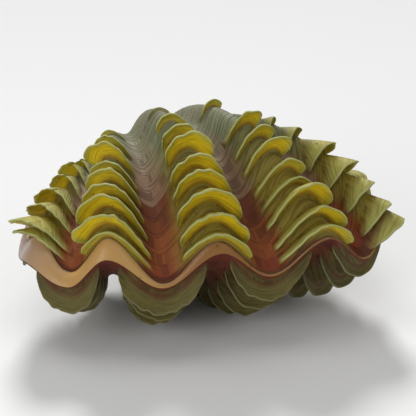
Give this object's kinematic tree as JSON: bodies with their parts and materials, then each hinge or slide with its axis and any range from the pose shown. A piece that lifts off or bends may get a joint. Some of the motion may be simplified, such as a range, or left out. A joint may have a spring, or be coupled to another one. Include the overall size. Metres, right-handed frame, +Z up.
{
  "type": "giant clam shell",
  "caption": "Closed giant clam shell: two wavy valves that interlock along the margin, with strong radiating ribs, standing fluted scales and a hinge ligament behind.",
  "frame": {"origin": "centre of the bounding box in plan, on the ground plane that the lowest scales rest on", "axes": "+X along the hinge line towards the long end of the shell, -Y towards the free margin, +Z up, square to the plane where the valves meet"},
  "size_m": [0.2903, 0.1808, 0.1579],
  "materials": {
    "upper_shell": "satin",
    "lower_shell": "satin",
    "ligament": "matt"
  },
  "bodies": {
    "root": {"upper_valve": "upper_shell", "lower_valve": "lower_shell", "hinge_ligament": "ligament"}
  },
  "joints": []
}
